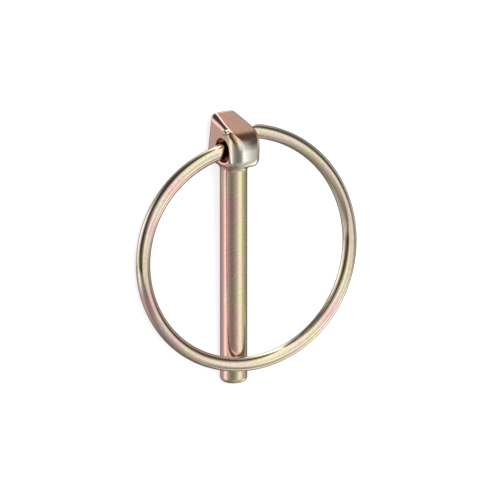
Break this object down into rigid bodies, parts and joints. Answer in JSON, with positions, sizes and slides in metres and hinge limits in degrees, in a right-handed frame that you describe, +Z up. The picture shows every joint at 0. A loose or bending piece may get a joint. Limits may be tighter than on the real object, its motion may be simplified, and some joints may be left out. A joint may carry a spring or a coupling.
{
  "type": "wire lock pin",
  "caption": "Steel lock pin with a forged wedge head and a sprung wire ring that swings over the tip of the shank, lying flat.",
  "frame": {"origin": "on the shank's axis where the shank meets the underside of the head", "axes": "+Y up the shank to the head, +Z up from the surface it lies on, +X to the right with the head away from the viewer"},
  "size_m": [0.0544, 0.0634, 0.0154],
  "materials": {
    "plated_forging": "zinc plated, yellow passivated, smooth",
    "plated_wire": "zinc plated, yellow passivated, bright"
  },
  "bodies": {
    "forging": {"pin": "plated_forging"},
    "wire": {"ring": "plated_wire"}
  },
  "joints": [
    {"name": "ring_hinge", "type": "hinge", "parent": "forging", "child": "wire", "pos_m": [0.00026, 0.00509, 0.00062], "axis": [-0.9659, -0.2583, -0.0161], "range_deg": [0, 180]}
  ]
}
